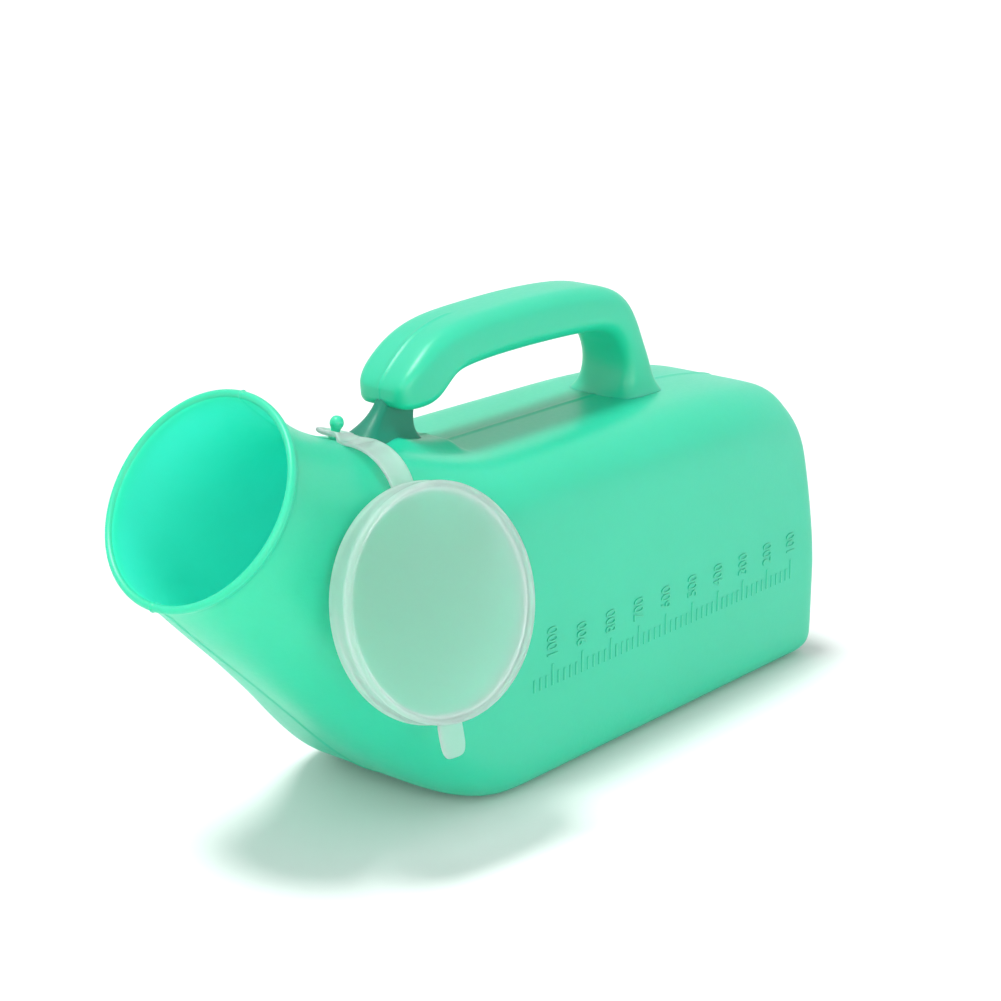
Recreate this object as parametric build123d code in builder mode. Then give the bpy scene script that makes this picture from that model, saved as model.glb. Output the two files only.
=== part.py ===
from build123d import *
import os
from math import atan2, cos, degrees, radians, sin

os.makedirs("parts", exist_ok=True)

# Frame, in millimetres: the bottle lies on its long side on Z = 0, with the mouth towards -X and the flat
# base end towards +X. Y = 0 is the parting plane, and the lid hangs on the -Y side.

# Blow-moulded bottle
body_width = 74.0
body_height = 102.0
base_end_x = 86.0            # outer face of the base end
shoulder_x = -72.0           # where the straight body ends and the neck begins
wall = 1.3
top_corner_radius = 15.0
bottom_corner_radius = 9.0
base_end_fillet = 8.0
punt_depth = 3.0             # recess of the base end, so that the bottle stands on a ring
punt_border = 11.0           # width of that ring

# Mouth, a round opening that looks forwards and up
mouth_x = -165.5
mouth_rise = 4.6             # mouth centre above the top of the body
mouth_tilt = 34.2            # degrees above the horizontal
rim_radius = 32.0            # outside of the bead round the mouth
rim_bead = 2.6               # diameter of the bead's section
neck_inset = 2.2             # neck's outside, in from the outside of the bead

# Handle, moulded in one with the body
handle_width = 22.0
handle_wall = 1.8
handle_edge_fillet = 2.0
grip_top_rise = 40.0         # top of the grip above the top of the body
grip_thickness = 14.6        # grip's depth at its middle
grip_middle_x = -42.0
grip_tip_x = -95.0
leg_front_x = 11.0
leg_thickness = 12.0         # rear leg, along X, half way up
leg_foot_spread = 9.0        # how far the leg's foot runs out to the back
web_width = 16.0             # front web, along X, at its waist
web_thickness = 5.0
web_x = -91.5                # middle of the web at its waist
web_foot_spread = 6.0        # how far the web's foot runs out towards the mouth
root_depth = 6.0             # how far the roots are carried down before they are cut to the bottle

# Peg for the lid's eyelet
peg_x = -113.8
peg_seat_rise = 10.0         # top of the neck at the peg, above the top of the body
peg_tilt = 16.0              # degrees, leaning away from the mouth
peg_stem_radius = 1.3
peg_head_radius = 2.1
peg_stem_length = 3.8
peg_root = 1.6               # how deep the stem reaches into the neck's wall

# Graduations on the -Y side, read with the bottle standing on its base end
tick_first_x = 67.2          # the 100 ml mark
tick_pitch = 14.2            # 100 ml
tick_count = 49              # 100 ml to 1060 ml in steps of 20 ml
tick_foot_z = 32.0
tick_long = 6.8
tick_short = 4.0
tick_line = 0.8
tick_relief = 0.4

# Moulded lid: cap, strap, eyelet and tab
lid_fit_gap = 0.25           # between the bead and the skirt
lid_wall = 1.2
lid_depth = 8.3
lid_face_bead = 1.4
lid_side_gap = 10.6          # lid's face centre outside the body's side
lid_centre_x = -120.6
lid_centre_drop = 25.2       # lid's face centre below the top of the body
lid_lean = 15.0              # degrees, its face looks up a little
lid_turn = 7.15              # degrees, towards the mouth
strap_width = 8.0
strap_thickness = 1.3
eyelet_radius = 5.3
eyelet_clearance = 0.1       # eyelet's hole round the peg's stem
eyelet_thickness = 1.4
eyelet_lift = 1.0            # eyelet above the neck's top
tail_length = 8.0            # eyelet's tail, from the peg's axis
flex_gap = 1.4               # free space at each flexing place of the strap
strap_arch = 0.25            # the strap's slope as it leaves the tail, upwards
tab_width = 9.2
tab_length = 10.0

# Sections of the neck from the mouth back to the body: x and height of the lowest point, then x and rise
# above the body's top of the highest point, then how much narrower than the body, then the corner radii.
neck_radius = rim_radius - neck_inset
neck_stations = [
    (-170.0, 69.8, -137.5, 20.9, 15.0, 28.5, 28.5),
    (-153.0, 54.0, -123.5, 13.4, 13.0, 28.0, 28.0),
    (-134.0, 35.8, -108.5, 8.6, 9.0, 25.0, 26.0),
    (-113.0, 16.0, -94.5, 6.0, 4.0, 21.0, 20.0),
    (-94.0, 4.4, -82.0, 3.2, 1.0, 17.0, 13.0),
]


def station_plane(bottom, top):
    """Plane of a section through its lowest and highest points, looking from the mouth into the body."""
    middle = (bottom + top) * 0.5
    up = (top - bottom).normalized()
    inward = Vector(up.Z, 0, -up.X)
    return Plane(origin=middle, x_dir=(0, 1, 0), z_dir=inward)


def rounded_section(plane, width, height, top_radius, bottom_radius):
    """Rectangle with its two upper corners and its two lower corners rounded by their own radii."""
    with BuildSketch(plane) as section:
        Rectangle(width, height)
        fillet(section.vertices().group_by(Axis.Y)[-1], top_radius)
        fillet(section.vertices().group_by(Axis.Y)[0], bottom_radius)
    return section.sketch


def bottle_solid(inset):
    """The bottle's outside, or with an inset its hollow."""
    tilt = radians(mouth_tilt)
    mouth_up = Vector(sin(tilt), 0, cos(tilt))
    mouth_centre = Vector(mouth_x, 0, body_height + mouth_rise)
    radius = neck_radius - inset
    sections = []
    mouth_plane = station_plane(mouth_centre - mouth_up * radius, mouth_centre + mouth_up * radius)
    sections.append(rounded_section(mouth_plane, 2 * radius, 2 * radius, 0.98 * radius, 0.98 * radius))
    for low_x, low_z, high_x, high_rise, narrower, top_radius, bottom_radius in neck_stations:
        low = Vector(low_x, 0, low_z)
        high = Vector(high_x, 0, body_height + high_rise)
        plane = station_plane(low, high)
        height = (high - low).length - 2 * inset
        width = body_width - narrower - 2 * inset
        sections.append(rounded_section(plane, width, height, top_radius - inset, bottom_radius - inset))
    shoulder = station_plane(Vector(shoulder_x, 0, 0), Vector(shoulder_x, 0, body_height))
    straight = rounded_section(shoulder, body_width - 2 * inset, body_height - 2 * inset,
                               top_corner_radius - inset, bottom_corner_radius - inset)
    sections.append(straight)
    with BuildPart() as solid:
        loft(sections)
        extrude(straight, amount=base_end_x - inset - shoulder_x)
        end_face = solid.faces().sort_by(Axis.X)[-1]
        fillet(end_face.edges(), base_end_fillet - inset)
    return solid.part


def handle_outline(inset):
    """Side outline of the grip and the rear leg, or with an inset the outline of their hollow."""
    top = body_height + grip_top_rise - inset
    under = body_height + grip_top_rise - grip_thickness + inset
    tip = grip_tip_x + inset
    front = leg_front_x + inset
    back = leg_front_x + leg_thickness - inset
    foot = body_height - root_depth - 2 * inset
    with BuildSketch(Plane.XZ) as outline:
        with BuildLine():
            crest = Spline(
                (tip + 11, under - 6.6),
                (tip, under - 1.8),
                (tip + 12, top - 6.6),
                (grip_middle_x - 14, top - 0.6),
                (grip_middle_x + 16, top - 0.5),
                (back - 11, top - 8),
                (back - 1, top - 24),
                (back + leg_foot_spread, body_height),
            )
            Polyline(crest @ 1, (back + leg_foot_spread + 2, foot), (front, foot), (front, body_height + 8))
            Spline(
                (front, body_height + 8),
                (front - 2, under - 7),
                (front - 14, under),
                (grip_middle_x - 18, under),
                (tip + 20, under - 2.4),
                (tip + 11, under - 6.6),
            )
        make_face()
    return outline.sketch


tilt = radians(mouth_tilt)
mouth_out = Vector(-cos(tilt), 0, sin(tilt))
mouth_plane = Plane(origin=(mouth_x, 0, body_height + mouth_rise), x_dir=(0, 1, 0), z_dir=mouth_out)
outer = bottle_solid(0)
punt_corner = top_corner_radius / 2

# Handle: grip and rear leg are hollow and open into the bottle; the front web is a thin solid sheet.
web_top = body_height + grip_top_rise - grip_thickness + handle_wall
web_front_x = web_x - web_width / 2
web_back_x = web_x + web_width / 2
neck_top = body_height + peg_seat_rise
with BuildPart() as handle_core:
    extrude(handle_outline(handle_wall), amount=handle_width / 2 - handle_wall, both=True)
with BuildPart() as handle:
    extrude(handle_outline(0), amount=handle_width / 2, both=True)
    side_edges = handle.edges().filter_by(lambda edge: abs(abs(edge.center().Y) - handle_width / 2) < 0.01)
    fillet(side_edges, handle_edge_fillet)
    with BuildSketch(Plane.XZ) as web_outline:
        with BuildLine():
            web_front = Spline((web_front_x + 3.5, web_top), (web_front_x, body_height + 16),
                               (web_front_x - web_foot_spread, neck_top))
            Polyline(web_front @ 1, (web_front_x - web_foot_spread, neck_top - root_depth),
                     (web_back_x + 1, neck_top - 2 * root_depth), (web_back_x, body_height + 12),
                     (web_back_x + 1, web_top), web_front @ 0)
        make_face()
    extrude(web_outline.sketch, amount=web_thickness / 2, both=True)
    add(handle_core.part, mode=Mode.SUBTRACT)
    add(outer, mode=Mode.SUBTRACT)
handle.part.label = "handle"
export_step(handle.part, "parts/handle.step")

# Bottle: one thin shell with a bead round its mouth, and a recess in its base end
with BuildPart() as hollow:
    add(bottle_solid(wall))
    with BuildSketch(Plane.YZ.offset(base_end_x)) as punt_inside:
        with Locations((0, body_height / 2)):
            RectangleRounded(body_width - 2 * punt_border + 2 * wall,
                             body_height - 2 * punt_border + 2 * wall, punt_corner + wall)
    extrude(punt_inside.sketch, amount=-punt_depth - wall, mode=Mode.SUBTRACT)
with BuildPart() as bottle:
    add(outer)
    with BuildSketch(Plane.YZ.offset(base_end_x)) as punt:
        with Locations((0, body_height / 2)):
            RectangleRounded(body_width - 2 * punt_border, body_height - 2 * punt_border, punt_corner)
    extrude(punt.sketch, amount=-punt_depth, mode=Mode.SUBTRACT)
    add(hollow.part, mode=Mode.SUBTRACT)
    with BuildSketch(mouth_plane) as mouth_hole:
        Circle(neck_radius - wall)
    extrude(mouth_hole.sketch, amount=rim_bead, both=True, mode=Mode.SUBTRACT)
    with BuildSketch(Plane(origin=mouth_plane.origin, x_dir=(0, 1, 0), z_dir=mouth_plane.y_dir)) as bead:
        with Locations((rim_radius - rim_bead / 2, 0)):
            Circle(rim_bead / 2)
    revolve(bead.sketch, axis=Axis(mouth_plane.origin, mouth_out))
    add(handle_core.part, mode=Mode.SUBTRACT)
bottle.part.label = "bottle"
export_step(bottle.part, "parts/bottle.step")

# Peg: a mushroom-headed stud on the top of the neck, which holds the lid's eyelet
lean = radians(peg_tilt)
peg_axis = Vector(sin(lean), 0, cos(lean))
peg_seat = Plane(origin=(peg_x, 0, neck_top), x_dir=(cos(lean), 0, -sin(lean)), z_dir=peg_axis)
with BuildPart() as peg:
    with BuildSketch(peg_seat.offset(-peg_root)) as stem:
        Circle(peg_stem_radius)
    extrude(stem.sketch, amount=peg_root + peg_stem_length)
    with Locations(peg_seat.offset(peg_stem_length + peg_head_radius * 0.6)):
        Sphere(peg_head_radius)
    add(outer, mode=Mode.SUBTRACT)
peg.part.label = "peg"
export_step(peg.part, "parts/peg.step")

# Graduations: fine raised lines on the side, longer at each 100 ml
with BuildPart() as graduation_scale:
    for number in range(tick_count):
        length = tick_long if number % 5 == 0 else tick_short
        line_x = tick_first_x - number * tick_pitch / 5
        with Locations((line_x, -body_width / 2 - tick_relief / 2, tick_foot_z + length / 2)):
            Box(tick_line, tick_relief, length)
graduation_scale.part.label = "graduation_scale"
export_step(graduation_scale.part, "parts/graduation_scale.step")

# Lid: a cap with a raised ring round its face, which snaps over the bead of the mouth
lid_radius = rim_radius + lid_fit_gap + lid_wall
lid_face = Vector(-sin(radians(lid_turn)) * cos(radians(lid_lean)),
                  -cos(radians(lid_turn)) * cos(radians(lid_lean)), sin(radians(lid_lean)))
lid_centre = Vector(lid_centre_x, -body_width / 2 - lid_side_gap, body_height - lid_centre_drop)
lid_up = (Vector(0, 0, 1) - lid_face * lid_face.Z).normalized()
lid_side = lid_up.cross(lid_face)
lid_plane = Plane(origin=lid_centre, x_dir=lid_side, z_dir=lid_face)
with BuildPart() as lid:
    with BuildSketch(Plane(origin=lid_centre, x_dir=lid_side, z_dir=lid_side.cross(lid_face))) as profile:
        Polygon((0, -lid_face_bead), (lid_radius - 3.2, -lid_face_bead), (lid_radius - 2.4, 0),
                (lid_radius - 0.8, 0), (lid_radius, -1), (lid_radius, -lid_depth),
                (lid_radius - lid_wall, -lid_depth), (lid_radius - lid_wall, -lid_face_bead - lid_wall),
                (0, -lid_face_bead - lid_wall), align=None)
    revolve(profile.sketch, axis=Axis(lid_centre, lid_face))
lid.part.label = "lid"
export_step(lid.part, "parts/lid.step")

# Pull tab: a flat tongue at the skirt's open edge, opposite the strap
edge_plane = lid_plane.offset(-lid_depth)
with BuildPart() as pull_tab:
    with BuildSketch(edge_plane) as tongue:
        with Locations((0, -lid_radius - tab_length / 2)):
            Rectangle(tab_width, tab_length + 2)
        fillet(tongue.vertices().group_by(Axis.Y)[0], tab_width / 2 - 0.1)
        Circle(lid_radius, mode=Mode.SUBTRACT)
    extrude(tongue.sketch, amount=strap_thickness)
pull_tab.part.label = "pull_tab"
export_step(pull_tab.part, "parts/pull_tab.step")

# Eyelet: a ring round the peg's stem, with the strap's tail on it
eyelet_centre = Vector(peg_x, 0, neck_top) + peg_axis * (eyelet_lift + eyelet_thickness / 2)
strap_root = edge_plane.origin + lid_up * lid_radius
reach = Vector(strap_root.X - eyelet_centre.X, strap_root.Y, 0)
strap_out = reach.normalized()
ring_plane = Plane(origin=eyelet_centre, x_dir=peg_seat.x_dir, z_dir=peg_axis)
tail_local = ring_plane.to_local_coords(eyelet_centre + strap_out)
tail_angle = degrees(atan2(tail_local.Y, tail_local.X))
with BuildPart() as strap_eyelet:
    with BuildSketch(ring_plane) as ring:
        Circle(eyelet_radius)
        with Locations(Location((0, 0, 0), (0, 0, 1), tail_angle) * Location((tail_length / 2, 0, 0))):
            Rectangle(tail_length, strap_width)
        Circle(peg_stem_radius + eyelet_clearance, mode=Mode.SUBTRACT)
    extrude(ring.sketch, amount=eyelet_thickness / 2, both=True)
strap_eyelet.part.label = "strap_eyelet"
export_step(strap_eyelet.part, "parts/strap_eyelet.step")

# Strap: a thin band from the eyelet's tail over the shoulder to the lid
band_start = tail_length + flex_gap
band_end = (reach.length - flex_gap / 2, strap_root.Z - eyelet_centre.Z + flex_gap)
band_plane = Plane(origin=eyelet_centre, x_dir=strap_out, z_dir=strap_out.cross(Vector(0, 0, 1)))
with BuildPart() as strap:
    with BuildSketch(band_plane) as band:
        with BuildLine():
            TangentArc((band_start, 0), band_end, tangent=(1, strap_arch))
        trace(line_width=strap_thickness)
    extrude(band.sketch, amount=strap_width / 2, both=True)
strap.part.label = "strap"
export_step(strap.part, "parts/strap.step")

# Places of the three turning lines, for the record of joints
lift_point = eyelet_centre + strap_out * (tail_length + flex_gap / 2)
flip_point = strap_root + lid_up * (flex_gap / 2)
print("eyelet turns about", eyelet_centre, "axis", peg_axis * -1)
print("strap lifts about", lift_point, "axis", strap_out.cross(Vector(0, 0, 1)))
print("lid flips about", flip_point, "axis", lid_side * -1)
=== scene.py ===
import math

import bmesh
import bpy
from mathutils import Matrix, Vector
from mathutils.bvhtree import BVHTree


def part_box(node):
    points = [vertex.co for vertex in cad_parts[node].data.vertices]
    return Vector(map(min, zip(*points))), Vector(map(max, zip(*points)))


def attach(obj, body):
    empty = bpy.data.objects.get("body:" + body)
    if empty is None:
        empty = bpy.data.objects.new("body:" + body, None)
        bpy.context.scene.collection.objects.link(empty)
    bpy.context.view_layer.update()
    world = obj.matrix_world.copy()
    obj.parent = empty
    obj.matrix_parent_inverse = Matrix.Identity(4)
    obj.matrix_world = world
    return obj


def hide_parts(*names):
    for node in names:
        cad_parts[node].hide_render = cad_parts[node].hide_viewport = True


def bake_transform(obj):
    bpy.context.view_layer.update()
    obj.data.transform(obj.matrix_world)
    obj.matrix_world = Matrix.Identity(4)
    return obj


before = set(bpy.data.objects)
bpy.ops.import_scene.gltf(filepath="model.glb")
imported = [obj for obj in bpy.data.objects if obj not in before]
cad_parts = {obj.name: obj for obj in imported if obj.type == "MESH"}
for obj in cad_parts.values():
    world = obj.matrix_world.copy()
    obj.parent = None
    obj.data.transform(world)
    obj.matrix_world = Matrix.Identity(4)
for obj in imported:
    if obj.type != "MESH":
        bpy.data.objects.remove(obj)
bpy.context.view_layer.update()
mm = 0.001


# ---- Bottle: the shell -------------------------------------------------------------------------
# The real piece is one blow-moulded shell of green polyethylene. A hot tube of plastic is blown
# out against a two-part mould, so the wall is thin, every edge is soft, and a fine line of flash
# runs round it where the two mould halves met.

body_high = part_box("bottle")[1]
base_end_x = body_high.x
half_width = body_high.y
body_top = 102 * mm
wall = 1.3 * mm
mouth_tilt = math.radians(34.2)
mouth_out = Vector((-math.cos(mouth_tilt), 0, math.sin(mouth_tilt)))
mouth_up = Vector((math.sin(mouth_tilt), 0, math.cos(mouth_tilt)))
mouth_centre = Vector((-165.5 * mm, 0, body_top + 4.6 * mm))
rim_radius = 32 * mm
ring_points = 48


def outline_point(share, half_wide, half_high, top_radius, bottom_radius):
    """A point on a rounded rectangle, by its share of the way round from the bottom's middle."""
    side = 1
    if share > 0.5:
        side, share = -1, 1 - share
    # A tight corner still gets as many points as one of this radius, so the rings stay in step
    corner_pace = 24 * mm
    runs = [
        ("floor", half_wide - bottom_radius),
        ("low corner", math.pi / 2 * max(bottom_radius, corner_pace)),
        ("side", 2 * half_high - top_radius - bottom_radius),
        ("high corner", math.pi / 2 * max(top_radius, corner_pace)),
        ("top", half_wide - top_radius),
    ]
    way = share * 2 * sum(length for _, length in runs)
    for run, length in runs:
        if way <= length or run == "top":
            break
        way -= length
    part = min(way / length, 1) if length > 1e-9 else 0
    turn = part * math.pi / 2
    if run == "floor":
        place = (part * (half_wide - bottom_radius), -half_high)
    elif run == "low corner":
        place = (half_wide - bottom_radius * (1 - math.sin(turn)),
                 -half_high + bottom_radius * (1 - math.cos(turn)))
    elif run == "side":
        place = (half_wide, -half_high + bottom_radius + way)
    elif run == "high corner":
        place = (half_wide - top_radius * (1 - math.cos(turn)),
                 half_high - top_radius * (1 - math.sin(turn)))
    else:
        place = (half_wide - top_radius - way, half_high)
    return side * place[0], place[1]


def place_ring(ring, low, high, half_wide, top_radius, bottom_radius):
    """Moves a ring of vertices onto the section that runs from low to high in the parting plane."""
    middle = (low + high) / 2
    up = (high - low).normalized()
    half_high = (high - low).length / 2
    for number, vertex in enumerate(ring):
        share = number / len(ring)
        across, rise = outline_point(share, half_wide, half_high, top_radius, bottom_radius)
        vertex.co = middle + up * rise + Vector((0, across, 0))


def next_ring(bm, ring):
    """Extrudes the open ring and returns the new vertices in the same order."""
    edges = [bm.edges.get((ring[i - 1], ring[i])) for i in range(len(ring))]
    made = bmesh.ops.extrude_edge_only(bm, edges=edges)["geom"]
    new = {v for v in made if isinstance(v, bmesh.types.BMVert)}
    after = []
    for vertex in ring:
        partners = [e.other_vert(vertex) for e in vertex.link_edges]
        after.append(next(partner for partner in partners if partner in new))
    return after


def close_ring(bm, ring, steps):
    """Fills a flat ring with smaller and smaller rings and a last point."""
    centre = sum((v.co for v in ring), Vector()) / len(ring)
    places = [v.co.copy() for v in ring]
    for step in range(1, steps):
        ring = next_ring(bm, ring)
        for vertex, place in zip(ring, places):
            vertex.co = centre.lerp(place, 1 - step / steps)
    bmesh.ops.pointmerge(bm, verts=next_ring(bm, ring), merge_co=centre)


def finish_mesh(bm, name, smooth_angle=180):
    """Makes the object, with its faces turned outwards and shaded smooth up to an angle."""
    bmesh.ops.recalc_face_normals(bm, faces=bm.faces)
    mesh = bpy.data.meshes.new(name)
    bm.to_mesh(mesh)
    bm.free()
    piece = bpy.data.objects.new(name, mesh)
    bpy.context.collection.objects.link(piece)
    mesh.shade_smooth()
    if smooth_angle < 180:
        mesh.set_sharp_from_angle(angle=math.radians(smooth_angle))
    return piece


def round_off(piece, levels):
    """Adds a subdivision surface."""
    rounder = piece.modifiers.new("round", "SUBSURF")
    rounder.levels = levels
    rounder.render_levels = levels


def freeze(piece):
    """Turns the piece's modifiers into its mesh."""
    bpy.context.view_layer.update()
    finished = piece.evaluated_get(bpy.context.evaluated_depsgraph_get())
    made = bpy.data.meshes.new_from_object(finished)
    piece.modifiers.clear()
    old = piece.data
    piece.data = made
    bpy.data.meshes.remove(old)
    made.name = piece.name


# Rings down the neck, in mm: lowest and highest point, half width, upper and lower corner radius
neck_rings = [
    ((-170, 69.8), (-137.5, 122.9), 29.5, 28.6, 28.6),
    ((-162, 62.2), (-130.5, 119.0), 29.8, 28.4, 28.4),
    ((-153, 54.0), (-123.5, 115.4), 30.5, 28.0, 28.0),
    ((-143.5, 44.8), (-116.0, 112.8), 31.4, 26.8, 27.2),
    ((-134, 35.8), (-108.5, 110.6), 32.5, 25.0, 26.0),
    ((-124, 25.8), (-101.5, 108.6), 33.8, 23.2, 23.4),
    ((-113, 16.0), (-94.5, 106.6), 35.0, 21.0, 20.0),
    ((-104, 9.4), (-88.0, 104.9), 35.9, 19.2, 16.4),
    ((-94, 4.0), (-81.5, 103.5), 36.5, 17.6, 13.0),
    ((-84, 0.9), (-76.5, 102.7), 36.9, 16.6, 10.6),
    ((-76, 0.0), (-71.5, 102.2), 37.0, 15.6, 9.4),
    ((-68, 0.0), (-66.5, 102.0), 37.0, 15.0, 9.0),
]
base_fillet = 6.5 * mm
base_top_round = 14 * mm
punt_depth = 3 * mm
side_fillets = (15 * mm, 9 * mm)        # the body's upper and lower long edges
wider_fillet = 2 * mm                   # and how much wider the upper ones grow along the body
wider_from, wider_to = -50 * mm, 60 * mm
# Round the end's edge and into its recess: how far in from the side, and how deep in the recess
punt_steps = ((10.2, 0), (11.6, 0.2), (12.6, 0.85), (14.4, 1))


def shell_places(inset):
    """The shell's outer sections, or with an inset its inner ones, from the neck to the base."""
    places = []
    for (low_x, low_z), (high_x, high_z), half, top_radius, bottom_radius in neck_rings:
        low = Vector((low_x * mm, 0, low_z * mm))
        high = Vector((high_x * mm, 0, high_z * mm))
        pull = (high - low).normalized() * inset
        places.append((low + pull, high - pull, half * mm - inset,
                       top_radius * mm - inset, bottom_radius * mm - inset))

    def slice_at(x, draw_in):
        round_part = max(x - base_end_x + base_top_round, 0)
        round_radius = base_top_round - inset
        top_drop = round_radius - math.sqrt(max(round_radius ** 2 - round_part ** 2, 0))
        low = Vector((x, 0, draw_in))
        high = Vector((x, 0, body_top - draw_in - top_drop))
        wider = min(max((x - wider_from) / (wider_to - wider_from), 0), 1) * wider_fillet
        top_radius = max(side_fillets[0] + wider - draw_in * 0.8, 5 * mm)
        bottom_radius = max(side_fillets[1] - draw_in * 0.5, 4 * mm)
        places.append((low, high, half_width - draw_in, top_radius, bottom_radius))

    for x in (-56, -40, -20, 0, 20, 40, 54, 64, 70, 75):
        slice_at(x * mm, inset)
    turn_radius = base_fillet - inset
    for turn in (0, 22.5, 45, 67.5, 90):
        swing = math.radians(turn)
        slice_at(base_end_x - base_fillet + turn_radius * math.sin(swing),
                 inset + turn_radius * (1 - math.cos(swing)))
    for draw_in, depth in punt_steps:
        slice_at(base_end_x - depth * punt_depth - inset, draw_in * mm - 0.6 * inset)
    return places


# The lip: the bead turns over from the inner edge, round its crown, and back under itself
lip = (
    (-2.9, -1.4), (-2.5, 0.3), (-1.8, 0.95), (-1.0, 1.15), (-0.25, 0.7),
    (0.0, -0.2), (-0.25, -1.2), (-0.9, -1.9), (-1.7, -2.8))
bm = bmesh.new()
ring = bmesh.ops.create_circle(bm, segments=ring_points, radius=rim_radius)["verts"]
inside = list(reversed(shell_places(wall)))
place_ring(ring, *inside[0])
first = ring
for place in inside[1:]:
    ring = next_ring(bm, ring)
    place_ring(ring, *place)
for number, (reach, out) in enumerate(lip):
    ring = next_ring(bm, ring)
    if number == 1:
        within = set(bm.faces)
    radius = rim_radius + reach * mm
    centre = mouth_centre + mouth_out * out * mm
    across_mouth = mouth_up * radius
    place_ring(ring, centre - across_mouth, centre + across_mouth, radius,
               radius - 1e-5, radius - 1e-5)
for place in shell_places(0):
    ring = next_ring(bm, ring)
    place_ring(ring, *place)
close_ring(bm, ring, 5)
# New faces copy the plastic of those they grow from, so every face is told which it has
outside = set(bm.faces) - within
close_ring(bm, first, 5)
# The inner faces take the inside plastic, whose lighter colour is painted glow
for face in bm.faces:
    face.material_index = 0 if face in outside else 1
bottle = finish_mesh(bm, "bottle_shell")
round_off(bottle, 2)
freeze(bottle)


def ease(value, start, end):
    """0 before start, 1 after end, and a smooth change between them."""
    part = min(max((value - start) / (end - start), 0), 1)
    return part * part * (3 - 2 * part)


mound_height = 3.2 * mm
mound_rise = (-104 * mm, -92 * mm)
mound_step = (-75 * mm, -70.5 * mm)
mound_side = (8 * mm, 15 * mm)


def swell_mound(bm):
    """Lifts the low mound under the handle's front, up to its short step near the body's top."""
    for vertex in bm.verts:
        x, y, z = vertex.co
        if z < 85 * mm:
            continue
        long_way = ease(x, *mound_rise) * (1 - ease(x, *mound_step))
        vertex.co.z += mound_height * long_way * (1 - ease(abs(y), *mound_side))


top_fall = 7.5 * mm             # how far the top comes down at the base end
side_lean = 0.15                # share of the width that the upper sides lose there
end_lean = 6 * mm               # how far the upper part of the end leans in
lean_from, lean_to = 35 * mm, 95 * mm


def draw_in_base(bm):
    """Tapers the body to its base end: the top comes down, the upper sides and the end lean in."""
    for vertex in bm.verts:
        x, y, z = vertex.co
        along = min(max(x / base_end_x, 0), 1)
        high = min(max((z - lean_from) / (lean_to - lean_from), 0), 1)
        vertex.co.z -= top_fall * along ** 2.5 * z / body_top
        vertex.co.y *= 1 - side_lean * high ** 1.5 * along ** 2.5
        vertex.co.x -= end_lean * high ** 1.5 * ease(x, 40 * mm, base_end_x)


def raise_seam(bm, height, width, keep):
    """Cuts three lines along the parting plane and lifts the middle one into a fine ridge."""
    for offset in (-width, 0, width):
        geometry = list(bm.verts) + list(bm.edges) + list(bm.faces)
        bmesh.ops.bisect_plane(bm, geom=geometry, dist=1e-6,
                               plane_co=(0, offset, 0), plane_no=(0, 1, 0))
    bm.normal_update()
    on_seam = [v for v in bm.verts if abs(v.co.y) < 1e-6 and keep(v)]
    shifts = [(v, v.normal * height) for v in on_seam]
    for vertex, shift in shifts:
        vertex.co += shift


bm = bmesh.new()
bm.from_mesh(bottle.data)
swell_mound(bm)
draw_in_base(bm)
raise_seam(bm, 0.3 * mm, 0.5 * mm,
           lambda v: v.co.x < base_end_x - 9 * mm and v.co.z > 2 * mm)
bm.to_mesh(bottle.data)
bm.free()
bottle.data.shade_smooth()


def linear(hex_colour):
    """An sRGB hex colour as the linear colour that a shader's socket takes."""
    parts = [int(hex_colour[i:i + 2], 16) / 255 for i in (1, 3, 5)]
    return [c / 12.92 if c <= 0.04045 else ((c + 0.055) / 1.055) ** 2.4 for c in parts] + [1]


def add_node(tree, kind, settings=None, values=None, links=None):
    """Adds a node, with its settings, its sockets' values, and what its sockets are linked from."""
    node = tree.nodes.new(kind)
    for name, value in (settings or {}).items():
        setattr(node, name, value)
    for name, value in (values or {}).items():
        node.inputs[name].default_value = value
    for name, source in (links or {}).items():
        tree.links.new(source, node.inputs[name])
    return node


def moulded_plastic(name, light, dark, values, grain_mm, grain_depth, cloud_mm):
    """A moulded plastic: its colour clouds a little as the wall's thickness does, under a grain."""
    material = bpy.data.materials.new(name)
    material.use_nodes = True
    tree = material.node_tree
    tree.nodes.clear()
    place = add_node(tree, "ShaderNodeTexCoord").outputs["Object"]
    cloud = add_node(tree, "ShaderNodeTexNoise",
                     values={"Scale": 1000 / cloud_mm, "Detail": 3.0, "Roughness": 0.5},
                     links={"Vector": place})
    mix = add_node(tree, "ShaderNodeMix", {"data_type": "RGBA"},
                   links={"Factor": cloud.outputs["Fac"]})
    mix.inputs["A"].default_value = linear(light)
    mix.inputs["B"].default_value = linear(dark)
    grain = add_node(tree, "ShaderNodeTexNoise",
                     values={"Scale": 1000 / grain_mm, "Detail": 4.0, "Roughness": 0.6},
                     links={"Vector": place})
    rough = add_node(tree, "ShaderNodeMapRange",
                     values={"To Min": values["Roughness"] - 0.05,
                             "To Max": values["Roughness"] + 0.07},
                     links={"Value": grain.outputs["Fac"]})
    bump = add_node(tree, "ShaderNodeBump",
                    values={"Strength": 0.35, "Distance": grain_depth * mm},
                    links={"Height": grain.outputs["Fac"]})
    shader = add_node(tree, "ShaderNodeBsdfPrincipled", values=values,
                      links={"Base Color": mix.outputs["Result"],
                             "Roughness": rough.outputs["Result"],
                             "Normal": bump.outputs["Normal"]})
    add_node(tree, "ShaderNodeOutputMaterial", links={"Surface": shader.outputs["BSDF"]})
    return material


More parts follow.
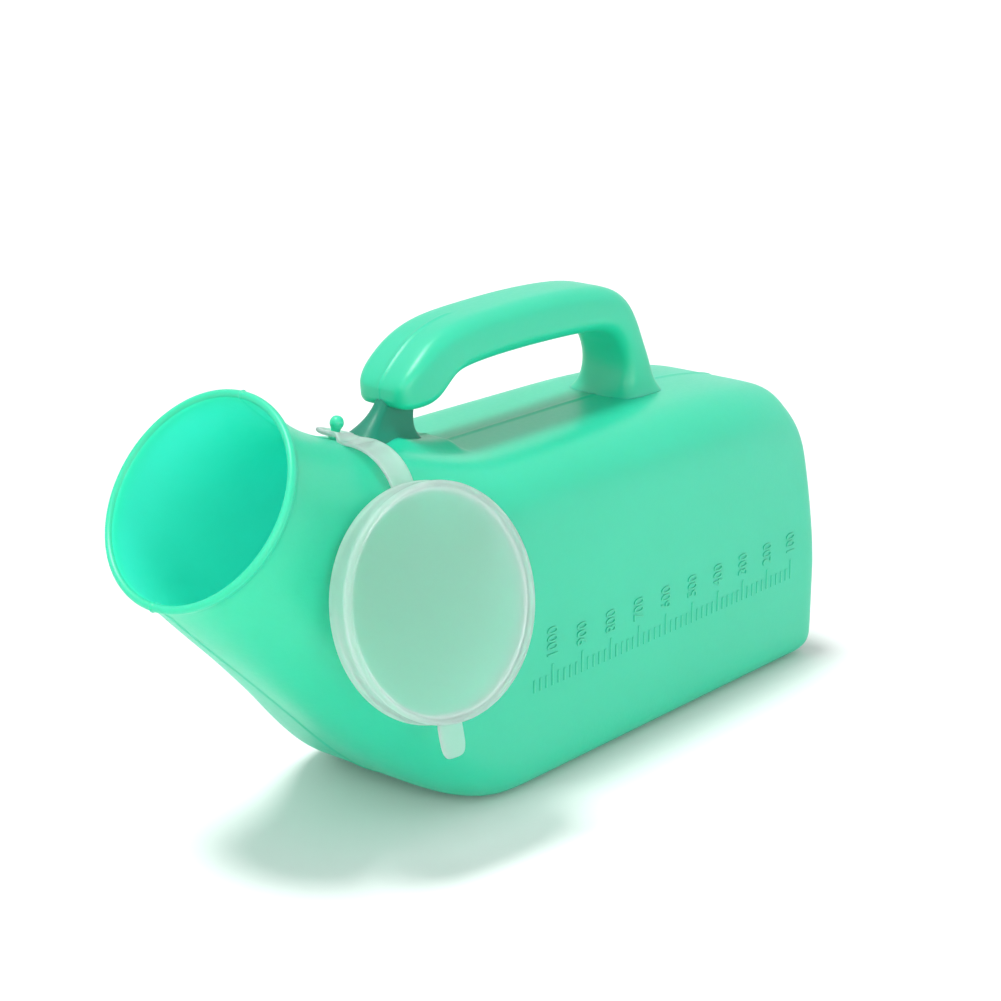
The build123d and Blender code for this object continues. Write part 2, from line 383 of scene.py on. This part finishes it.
# High-density polyethylene, tinted mint green and blow-moulded: light soaks a few millimetres into
# it, so it seems to glow from within, and its waxy skin gives only broad, soft highlights.
green_hdpe = moulded_plastic(
    "green_blown_polyethylene", "#24CAA3", "#1EC199",
    {"Roughness": 0.38, "IOR": 1.54, "Specular IOR Level": 0.5, "Subsurface Weight": 1.0,
     "Subsurface Radius": (0.35, 1.0, 0.8), "Subsurface Scale": 0.003},
    grain_mm=1.6, grain_depth=0.12, cloud_mm=60)
# The inside skin never touched the mould, so it is duller. Its colour is painted lighter than the
# outside's, a painted glow for the light that comes through the wall to it
green_inside_painted_glow = moulded_plastic(
    "green_polyethylene_inside_painted_glow", "#3CDDB0", "#36D6A7",
    {"Roughness": 0.5, "IOR": 1.54, "Specular IOR Level": 0.4, "Subsurface Weight": 1.0,
     "Subsurface Radius": (0.35, 1.0, 0.8), "Subsurface Scale": 0.012},
    grain_mm=3.0, grain_depth=0.1, cloud_mm=40)
bottle.data.materials.append(green_hdpe)
bottle.data.materials.append(green_inside_painted_glow)
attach(bottle, "bottle_body")
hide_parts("bottle")


# ---- Handle -------------------------------------------------------------------------------------
# The real handle is blown in the same shot as the bottle. The grip and the rear leg are a hollow
# tube, open to the bottle at the leg's foot. The front is only a web, where the mould pinched shut.


def tube(bm, places):
    """A closed tube through the sections, with both ends filled."""
    ring = bmesh.ops.create_circle(bm, segments=24, radius=1 * mm)["verts"]
    first = ring
    for number, (low, high, half, radius) in enumerate(places):
        if number:
            ring = next_ring(bm, ring)
        low = Vector((low[0] * mm, 0, low[1] * mm))
        high = Vector((high[0] * mm, 0, high[1] * mm))
        place_ring(ring, low, high, half * mm, radius * mm, radius * mm)
    close_ring(bm, first, 3)
    close_ring(bm, ring, 3)


# From the grip's nose, over its crest, and down the rear leg to a foot that spreads into the body
grip_places = [
    ((-94.8, 119.8), (-95.0, 123.6), 6.2, 1.4),
    ((-93.8, 118.0), (-94.4, 125.4), 8.6, 2.4),
    ((-90.8, 117.2), (-91.8, 128.4), 10.2, 3.4),
    ((-86.0, 116.9), (-87.6, 132.0), 10.9, 4.2),
    ((-80.2, 117.2), (-82.6, 135.6), 11.0, 4.8),
    ((-76.6, 119.8), (-76.0, 138.4), 11.0, 5.2),
    ((-72.2, 124.0), (-68.5, 140.0), 11.0, 5.6),
    ((-63.0, 125.4), (-59.5, 140.7), 11.0, 5.8),
    ((-50.0, 126.0), (-47.0, 141.2), 11.0, 5.8),
    ((-34.0, 126.1), (-32.0, 141.5), 11.0, 5.8),
    ((-19.0, 125.8), (-16.0, 141.0), 11.0, 5.8),
    ((-8.0, 125.4), (-3.0, 139.8), 11.0, 5.8),
    ((0.2, 124.6), (6.0, 137.2), 11.0, 5.4),
    ((5.0, 122.2), (12.0, 132.6), 11.0, 5.0),
    ((8.4, 118.2), (16.2, 125.6), 11.0, 4.6),
    ((10.2, 113.6), (19.2, 119.2), 11.0, 4.6),
    ((10.4, 109.2), (22.2, 113.4), 11.2, 4.8),
    ((9.4, 105.8), (23.8, 108.4), 11.4, 4.8),
    ((7.8, 103.4), (25.6, 104.6), 12.0, 5.2),
    ((5.8, 102.3), (27.2, 102.3), 13.0, 5.8),
    ((4.2, 101.0), (28.2, 100.6), 13.8, 6.2),
]
bm = bmesh.new()
tube(bm, grip_places)
grip = finish_mesh(bm, "handle_grip")
round_off(grip, 2)
freeze(grip)
bm = bmesh.new()
bm.from_mesh(grip.data)
raise_seam(bm, 0.25 * mm, 0.35 * mm, lambda v: v.co.x < -66 * mm)
bm.to_mesh(grip.data)
bm.free()
grip.data.shade_smooth()
grip.data.materials.append(green_hdpe)
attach(grip, "bottle_body")
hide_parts("handle")

# The web: front edge, rear edge, half thickness; it spreads at its foot into the mound
web_places = [
    ((-92.0, 126.0), (-80.0, 126.0), 2.2, 2.0),
    ((-93.2, 123.0), (-80.6, 120.0), 2.3, 2.1),
    ((-94.6, 120.6), (-81.4, 116.6), 2.3, 2.1),
    ((-96.6, 117.6), (-82.0, 113.0), 2.5, 2.2),
    ((-99.4, 115.0), (-82.2, 110.4), 3.1, 2.6),
    ((-102.6, 112.9), (-81.6, 108.2), 4.2, 3.4),
    ((-105.4, 111.2), (-80.4, 106.4), 6.0, 4.6),
    ((-107.0, 109.2), (-79.4, 104.2), 7.2, 5.2),
]
bm = bmesh.new()
tube(bm, web_places)
web = finish_mesh(bm, "handle_web")
round_off(web, 2)
freeze(web)
web.data.shade_smooth()
# Two walls pinched into one: thicker plastic, so a deeper green, darkened further with painted
# shade for the web's place in the grip's shadow
green_pinched_and_painted_shade = moulded_plastic(
    "green_pinched_polyethylene_painted_shade", "#08836A", "#067860",
    {"Roughness": 0.42, "IOR": 1.54, "Specular IOR Level": 0.3, "Subsurface Weight": 0.5,
     "Subsurface Radius": (0.3, 0.8, 0.6), "Subsurface Scale": 0.002},
    grain_mm=1.6, grain_depth=0.12, cloud_mm=20)
web.data.materials.append(green_pinched_and_painted_shade)
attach(web, "bottle_body")


# ---- Peg ----------------------------------------------------------------------------------------
# The real peg is a stud with an egg-shaped head, moulded on the top of the neck, just in front of
# the web. The lid's eyelet is pushed over the head once and then can't come off by itself.

peg_lean = math.radians(16)
peg_axis = Vector((math.sin(peg_lean), 0, math.cos(peg_lean)))
peg_seat = Vector((-113.8 * mm, 0, body_top + 10 * mm))


def lathe(profile, steps):
    """Turns a profile of radius and height round the z axis, as a bmesh at the origin."""
    bm = bmesh.new()
    points = [bm.verts.new((radius * mm, 0, height * mm)) for radius, height in profile]
    edges = [bm.edges.new((points[i - 1], points[i])) for i in range(1, len(points))]
    bmesh.ops.spin(bm, geom=points + edges, cent=(0, 0, 0), axis=(0, 0, 1),
                   angle=2 * math.pi, steps=steps, use_merge=True)
    bmesh.ops.remove_doubles(bm, verts=bm.verts, dist=1e-6)
    return bm


def facing(axis, up, origin):
    """The matrix that takes z to the axis and y as near as it can to up."""
    z = axis.normalized()
    y = (up - z * up.dot(z)).normalized()
    x = y.cross(z)
    return Matrix.Translation(origin) @ Matrix((x, y, z)).transposed().to_4x4()


# A foot that spreads into the neck, a stem for the eyelet, and the egg-shaped head
peg_profile = [
    (0, -1.2), (2.6, -1.2), (2.4, -0.2), (1.7, 0.5), (1.32, 1.3), (1.28, 2.4), (1.4, 3.4),
    (1.9, 4.1), (2.1, 4.9), (2.0, 5.7), (1.5, 6.6), (0.8, 7.05), (0, 7.15)]
bm = lathe(peg_profile, 24)
bm.transform(facing(peg_axis, Vector((1, 0, 0)), peg_seat))
peg = finish_mesh(bm, "peg_stud")
round_off(peg, 2)
peg.data.materials.append(green_hdpe)
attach(peg, "bottle_body")
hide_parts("peg")


# ---- Graduations --------------------------------------------------------------------------------
# The real marks are cut in one half of the mould, so they stand a hair proud of the bottle's side,
# in the same green: a long line with a number each 100 ml, and four short lines between.

bottle_surface = BVHTree.FromObject(bottle, bpy.context.evaluated_depsgraph_get())
scale_low, scale_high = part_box("graduation_scale")
hundred_pitch = 14.2 * mm       # the body's length that holds 100 ml
ticks_in_all = 49
tick_width = 0.75 * mm
long_tick = 6.8 * mm
short_tick = 4.0 * mm
tick_foot = scale_low.z
first_tick = scale_high.x - 0.4 * mm
tick_proud = 0.25 * mm


def lay_on_side(bm, proud):
    """Moves each vertex to the bottle's side: the back ones sink in, the front ones stand proud."""
    for vertex in bm.verts:
        start = Vector((vertex.co.x, -half_width - 20 * mm, vertex.co.z))
        hit = bottle_surface.ray_cast(start, Vector((0, 1, 0)))[0]
        vertex.co.y = hit.y + (0.3 * mm if vertex.co.y > 0.5 * mm else -proud)


bm = bmesh.new()
for number in range(ticks_in_all):
    length = long_tick if number % 5 == 0 else short_tick
    x = first_tick - number * hundred_pitch / 5
    size = Matrix.Diagonal((tick_width, 2 * mm, length, 1))
    middle = Matrix.Translation((x, 0, tick_foot + length / 2))
    bmesh.ops.create_cube(bm, size=1, matrix=middle @ size)
lay_on_side(bm, tick_proud)
front_edges = [e for e in bm.edges if all(v.co.y < -half_width - 0.05 * mm for v in e.verts)]
bmesh.ops.bevel(bm, geom=front_edges, offset=0.18 * mm, affect="EDGES", segments=2,
                profile=0.5, material=-1)
ticks = finish_mesh(bm, "graduation_lines", 40)
# Raised marks in the bottle's own plastic, too thin for light to soak in: no glow of their own
green_marks = moulded_plastic(
    "green_polyethylene_marks", "#2FC89D", "#28C095",
    {"Roughness": 0.34, "IOR": 1.54, "Specular IOR Level": 0.5},
    grain_mm=1.6, grain_depth=0.1, cloud_mm=60)
ticks.data.materials.append(green_marks)
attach(ticks, "bottle_body")
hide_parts("graduation_scale")

# The numbers run up the bottle's side, each from just above its long line
digit_height = 7 * mm
digit_narrowing = 0.72
digit_foot = tick_foot + 8.6 * mm
numbers = bmesh.new()
for hundred in range(1, 11):
    text = bpy.data.curves.new("number", "FONT")
    text.body = str(hundred * 100)
    text.size = digit_height
    text.extrude = 1 * mm
    text.align_x = "LEFT"
    text.align_y = "CENTER"
    text.resolution_u = 3
    holder = bpy.data.objects.new("number", text)
    bpy.context.collection.objects.link(holder)
    bpy.context.view_layer.update()
    flat = bpy.data.meshes.new_from_object(holder)
    bpy.data.objects.remove(holder)
    x = first_tick - (hundred - 1) * hundred_pitch
    # Reading direction goes up the side, and the tops of the digits point to the mouth
    flat.transform(Matrix(((0, -1, 0, x), (0, 0, -1, 0),
                           (digit_narrowing, 0, 0, digit_foot), (0, 0, 0, 1))))
    numbers.from_mesh(flat)
    bpy.data.meshes.remove(flat)
bmesh.ops.remove_doubles(numbers, verts=numbers.verts, dist=1e-6)
lay_on_side(numbers, tick_proud)
digits = finish_mesh(numbers, "graduation_numbers", 40)
digits.data.materials.append(green_marks)
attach(digits, "bottle_body")


# ---- Lid ----------------------------------------------------------------------------------------
# The real lid is injection-moulded in soft natural polyethylene. Its skirt snaps over the mouth's
# bead. A ring stands round its face, and a flash line runs round the skirt's open edge.

lid_turn, lid_tilt = math.radians(7.15), math.radians(15)
lid_face = Vector((-math.sin(lid_turn) * math.cos(lid_tilt),
                   -math.cos(lid_turn) * math.cos(lid_tilt), math.sin(lid_tilt)))
lid_centre = Vector((-120.6 * mm, -half_width - 10.6 * mm, body_top - 25.2 * mm))
lid_radius = 33.45
lid_place = facing(lid_face, Vector((0, 0, 1)), lid_centre)
lid_face_radius = 30.4
# Radius and height in mm: over the face and its ring, down the skirt, and back up the inside
lid_profile = [
    (0, -1.1), (10, -1.12), (22, -1.05), (29.8, -1.0),
    (31.0, -0.95), (31.5, -0.6), (31.8, -0.15), (32.3, -0.02), (32.9, -0.25), (33.25, -0.9),
    (33.2, -1.7), (32.95, -2.2), (32.95, -4.2), (33.05, -6.2), (33.3, -6.5), (33.42, -7.0),
    (33.42, -7.9), (33.1, -8.28), (32.5, -8.25), (32.2, -7.8), (31.85, -6.9), (32.1, -6.0),
    (32.1, -4.0), (31.9, -2.7), (31.0, -2.2), (22, -2.2), (10, -2.22), (0, -2.2)]
bm = lathe(lid_profile, 96)
bm.transform(lid_place)
lid = finish_mesh(bm, "lid_cap")
round_off(lid, 1)

# Low-density polyethylene with no dye, injection-moulded: milky and half clear where it is thin,
# whiter along its thick edges, with a wax-like sheen.
milky_ldpe = moulded_plastic(
    "natural_moulded_polyethylene", "#F4FFFC", "#E8F8F4",
    {"Roughness": 0.38, "IOR": 1.51, "Specular IOR Level": 0.5, "Subsurface Weight": 0.5,
     "Subsurface Radius": (1.0, 1.0, 1.0), "Subsurface Scale": 0.004, "Transmission Weight": 0.8},
    grain_mm=2.5, grain_depth=0.1, cloud_mm=40)
# The flat face is the thinnest stretch, and lets the most through
clear_ldpe = moulded_plastic(
    "natural_polyethylene_face", "#F4FFFC", "#E6F8F3",
    {"Roughness": 0.36, "IOR": 1.51, "Specular IOR Level": 0.5, "Transmission Weight": 0.9},
    grain_mm=2.5, grain_depth=0.1, cloud_mm=30)
lid.data.materials.append(milky_ldpe)
lid.data.materials.append(clear_ldpe)
for face in lid.data.polygons:
    off_axis = face.center - lid_centre
    off_axis -= lid_face * off_axis.dot(lid_face)
    face.material_index = 1 if off_axis.length < lid_face_radius * mm else 0
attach(lid, "lid")
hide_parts("lid")


# ---- Pull tab -----------------------------------------------------------------------------------
# The real tab is a flat tongue on the skirt's open edge, opposite the strap, for a thumb to lift.

tab_half_width = 4.6 * mm
tab_length = 10 * mm
tab_thickness = 1.3 * mm
bm = bmesh.new()
bmesh.ops.create_grid(bm, x_segments=2, y_segments=4, size=1)
for vertex in bm.verts:
    across, along = vertex.co.x, (vertex.co.y + 1) / 2
    end_round = 1 - 0.28 * ease(along, 0.7, 1)
    reach = -lid_radius * mm + 0.9 * mm - along * (tab_length + 1.2 * mm)
    vertex.co = Vector((across * tab_half_width * end_round, reach, -8.25 * mm + tab_thickness))
bmesh.ops.solidify(bm, geom=bm.faces, thickness=tab_thickness)
bm.transform(lid_place)
tab = finish_mesh(bm, "lid_tab")
round_off(tab, 3)
tab.data.materials.append(milky_ldpe)
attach(tab, "lid")
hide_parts("pull_tab")


# ---- Eyelet and strap ---------------------------------------------------------------------------
# The real strap is part of the lid's moulding: a thin band with raised borders, which ends in a
# ring round the peg. It stands up in a low arch, because it is stiffer than it is heavy.

eyelet_centre = peg_seat + peg_axis * 1.7 * mm
strap_root = lid_place @ Vector((0, lid_radius * mm, -8.3 * mm))
strap_out = Vector((strap_root.x - eyelet_centre.x, strap_root.y, 0)).normalized()
strap_side = Vector((0, 0, 1)).cross(strap_out)
strap_thickness = 1.3 * mm
border_rise = 0.5 * mm


def band_row(row, distance, height, slope):
    """Places a row of four vertices across the band, with a raised border at each side."""
    up = Vector((0, 0, 1)) * math.cos(slope) - strap_out * math.sin(slope)
    centre = strap_out * distance * mm + Vector((eyelet_centre.x, 0, height * mm))
    for vertex, across in zip(row, (-4.0, -2.7, 2.7, 4.0)):
        lift = border_rise if abs(across) > 3 else 0
        vertex.co = centre + strap_side * across * mm + up * lift


def extrude_row(bm, row):
    """Extrudes the open row of vertices and returns the new row in the same order."""
    edges = [bm.edges.get((row[i - 1], row[i])) for i in range(1, len(row))]
    made = bmesh.ops.extrude_edge_only(bm, edges=edges)["geom"]
    new = {v for v in made if isinstance(v, bmesh.types.BMVert)}
    return [next(e.other_vert(v) for e in v.link_edges if e.other_vert(v) in new) for v in row]


def thicken(bm, ends):
    """Gives the band its thickness, with sharp cut ends, so that the pieces meet with no gap."""
    crease = bm.edges.layers.float.new("crease_edge")
    bmesh.ops.recalc_face_normals(bm, faces=bm.faces)
    if sum(f.normal.z for f in bm.faces) < 0:
        bmesh.ops.reverse_faces(bm, faces=bm.faces)
    bmesh.ops.solidify(bm, geom=bm.faces, thickness=strap_thickness)
    for edge in bm.edges:
        for end in ends:
            if all(abs((v.co - end).dot(strap_out)) < 0.5 * mm for v in edge.verts):
                edge[crease] = 1


# Rows down the band: distance from the peg, height, and slope downwards in radians
tail_rows = [(6.6, 113.5, 0.0), (9.0, 113.9, -0.1), (11.6, 114.2, -0.05), (14.2, 114.3, 0.04)]
band_rows = [
    (14.2, 114.3, 0.04), (17.4, 114.15, 0.12), (20.6, 113.6, 0.28), (23.6, 112.6, 0.45),
    (26.4, 111.2, 0.62), (28.8, 109.4, 0.85), (30.8, 107.2, 1.1), (32.0, 105.0, 1.3)]

# The eyelet: a ring with a raised border. Its points on the lid's side run on as the tail's rows
bm = bmesh.new()
ring = bmesh.ops.create_circle(bm, segments=16, radius=1.9 * mm)["verts"]
dish_ring = next_ring(bm, ring)
outer_ring = next_ring(bm, dish_ring)
bmesh.ops.rotate(bm, verts=bm.verts, cent=(0, 0, 0), matrix=Matrix.Rotation(math.pi / 16, 3, "Z"))
ring_axes = facing(peg_axis, strap_out, eyelet_centre + peg_axis * 0.7 * mm)
for inner, dished, outer in zip(ring, dish_ring, outer_ring):
    outward = inner.co.normalized()
    dished.co = outward * 4.0 * mm
    outer.co = outward * 5.3 * mm + Vector((0, 0, 0.8 * mm))
bm.transform(ring_axes)
toward = sorted(outer_ring, key=lambda v: -(v.co - eyelet_centre).dot(strap_out))[:4]
row = sorted(toward, key=lambda v: (v.co - eyelet_centre).dot(strap_side))
for distance, height, slope in tail_rows:
    row = extrude_row(bm, row)
    band_row(row, distance, height, slope)
thicken(bm, [row[1].co.copy()])
eyelet = finish_mesh(bm, "strap_ring")
round_off(eyelet, 3)
freeze(eyelet)
eyelet.data.shade_smooth()
eyelet.data.materials.append(milky_ldpe)
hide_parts("strap_eyelet")

# The band: one row is drawn out along the arch and ends on the skirt's open edge
bm = bmesh.new()
start = [bm.verts.new((0, place, 0)) for place in range(4)]
for number in range(1, 4):
    bm.edges.new((start[number - 1], start[number]))
row = start
for number, (distance, height, slope) in enumerate(band_rows):
    if number:
        row = extrude_row(bm, row)
    band_row(row, distance, height, slope)
thicken(bm, [start[1].co.copy()])
band = finish_mesh(bm, "strap_band")
round_off(band, 3)
freeze(band)
band.data.shade_smooth()
band.data.materials.append(milky_ldpe)
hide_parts("strap")


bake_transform(eyelet)
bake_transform(band)


# ---- Room ---------------------------------------------------------------------------------------
# A white floor with no edge in view, an even white room, a broad light nearly overhead for the
# soft shadow, a front fill for the marked side, and a weak one that looks into the mouth.

bm = bmesh.new()
bmesh.ops.create_grid(bm, x_segments=2, y_segments=2, size=6)
floor = finish_mesh(bm, "floor")
floor_paint = bpy.data.materials.new("matt_white_paper")
floor_paint.use_nodes = True
floor_shader = floor_paint.node_tree.nodes["Principled BSDF"]
floor_shader.inputs["Base Color"].default_value = (0.92, 0.92, 0.92, 1)
floor_shader.inputs["Roughness"].default_value = 0.9
floor.data.materials.append(floor_paint)

world = bpy.data.worlds.new("studio")
world.use_nodes = True
background = world.node_tree.nodes["Background"]
background.inputs["Color"].default_value = (1, 1, 1, 1)
# The white walls reflect at full strength, but they light the bottle less, for a clear shadow
rays = add_node(world.node_tree, "ShaderNodeLightPath")
fill = add_node(world.node_tree, "ShaderNodeMapRange", values={"To Min": 1.02, "To Max": 0.55},
                links={"Value": rays.outputs["Is Diffuse Ray"]})
world.node_tree.links.new(fill.outputs["Result"], background.inputs["Strength"])
bpy.context.scene.world = world


def soft_light(name, place, aim, size, power):
    """A square area light that faces the point it is aimed at."""
    lamp = bpy.data.lights.new(name, "AREA")
    lamp.size = size
    lamp.energy = power
    holder = bpy.data.objects.new(name, lamp)
    holder.location = place
    holder.rotation_euler = (Vector(aim) - Vector(place)).to_track_quat("-Z", "Y").to_euler()
    bpy.context.collection.objects.link(holder)


overhead = bpy.data.lights.new("overhead", "SUN")
overhead.energy = 2.4
overhead.angle = math.radians(16)
overhead_holder = bpy.data.objects.new("overhead", overhead)
overhead_holder.rotation_euler = Vector((-0.22, 0.14, 1)).to_track_quat("Z", "Y").to_euler()
bpy.context.collection.objects.link(overhead_holder)
soft_light("front_fill", (-0.55, -1.35, 0.3), (-0.03, 0, 0.05), 0.9, 8)
soft_light("mouth_fill", (-1.3, -0.35, 0.75), (-0.16, 0, 0.1), 0.6, 3)

# ---- Camera -------------------------------------------------------------------------------------
# It stands to the left of the bottle's marked side and a little above it.

camera_place = (-0.5671, -0.4405, 0.2896)
swing, tip, roll = math.radians(-50.07), math.radians(17.19), math.radians(0.256)
back = Vector((math.sin(swing) * math.cos(tip), -math.cos(swing) * math.cos(tip), math.sin(tip)))
right = Vector((math.cos(swing), math.sin(swing), 0))
up = back.cross(right)
rolled_right = right * math.cos(roll) + up * math.sin(roll)
rolled_up = up * math.cos(roll) - right * math.sin(roll)
camera_data = bpy.data.cameras.new("camera")
camera_data.sensor_width = 36
camera_data.lens = 84.05
camera_data.clip_start = 0.05
camera_data.clip_end = 30
camera = bpy.data.objects.new("camera", camera_data)
turn = Matrix((rolled_right, rolled_up, back)).transposed().to_4x4()
camera.matrix_world = Matrix.Translation(camera_place) @ turn
bpy.context.collection.objects.link(camera)
bpy.context.scene.camera = camera
bpy.context.scene.view_settings.view_transform = "Standard"
